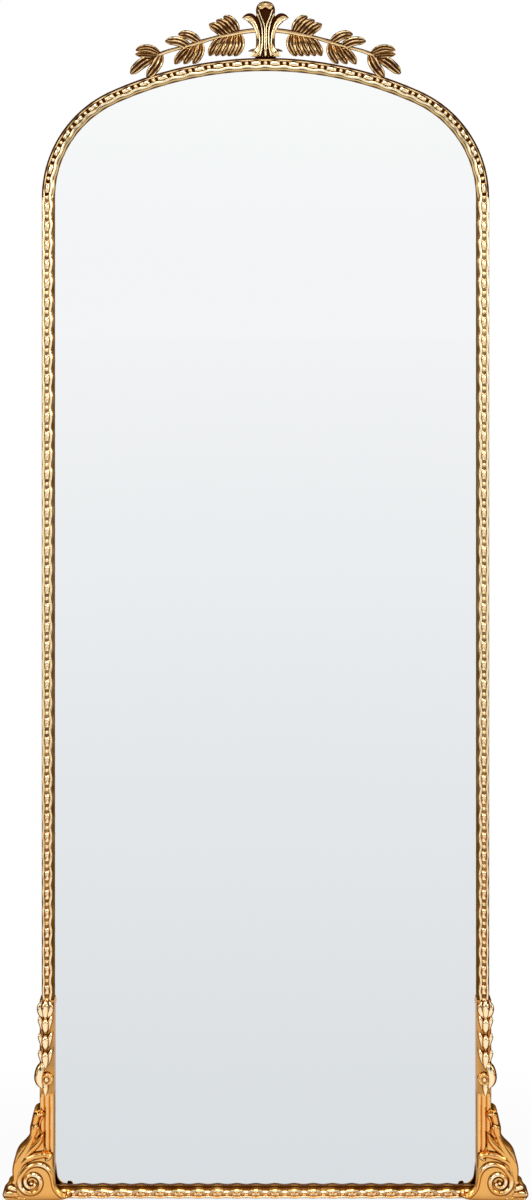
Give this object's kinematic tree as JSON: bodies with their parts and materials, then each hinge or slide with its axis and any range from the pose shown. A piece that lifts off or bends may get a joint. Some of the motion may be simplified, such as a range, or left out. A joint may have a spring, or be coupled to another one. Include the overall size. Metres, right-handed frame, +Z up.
{
  "type": "wall mirror",
  "caption": "Full-length arched wall mirror in a slim beaded gilt frame, with a plume and laurel crown, scrolled acanthus feet and swinging hanger rings at the back.",
  "frame": {"origin": "on the frame's middle line, level with the undersides of the feet, half-way through the depth", "axes": "+X to the viewer's right, +Y from the front towards the wall, +Z up"},
  "size_m": [0.76, 0.05, 1.73],
  "materials": {
    "gilt_casting": "satin",
    "zinc_steel": "satin",
    "silvered_glass": "polished",
    "foam_tape": "matte",
    "rubber": "matte",
    "fibreboard": "matte"
  },
  "bodies": {
    "frame": {"head_moulding": "gilt_casting", "left_stile": "gilt_casting", "right_stile": "gilt_casting", "bottom_rail": "gilt_casting", "left_foot": "gilt_casting", "right_foot": "gilt_casting", "left_drop": "gilt_casting", "right_drop": "gilt_casting", "left_rosette": "gilt_casting", "right_rosette": "gilt_casting", "crown_plume": "gilt_casting", "left_spray": "gilt_casting", "right_spray": "gilt_casting", "backing_clips": "zinc_steel", "splice_plates": "zinc_steel", "corner_plates": "zinc_steel", "joint_screws": "zinc_steel", "foot_plates": "zinc_steel", "crown_bracket": "zinc_steel", "left_hanger_strap": "zinc_steel", "right_hanger_strap": "zinc_steel", "hanger_screws": "zinc_steel", "mirror_glass": "silvered_glass", "glass_tape": "foam_tape", "setting_blocks": "rubber", "wall_bumpers": "rubber", "backing_board": "fibreboard"},
    "left_ring": {"left_ring": "zinc_steel"},
    "right_ring": {"right_ring": "zinc_steel"}
  },
  "joints": [
    {"name": "left_ring_swing", "type": "hinge", "parent": "frame", "child": "left_ring", "pos_m": [-0.3175, 0.0218, 1.33037], "axis": [1, 0, 0], "range_deg": [0, 178]},
    {"name": "right_ring_swing", "type": "hinge", "parent": "frame", "child": "right_ring", "pos_m": [0.3175, 0.0218, 1.33037], "axis": [1, 0, 0], "range_deg": [0, 178]}
  ]
}
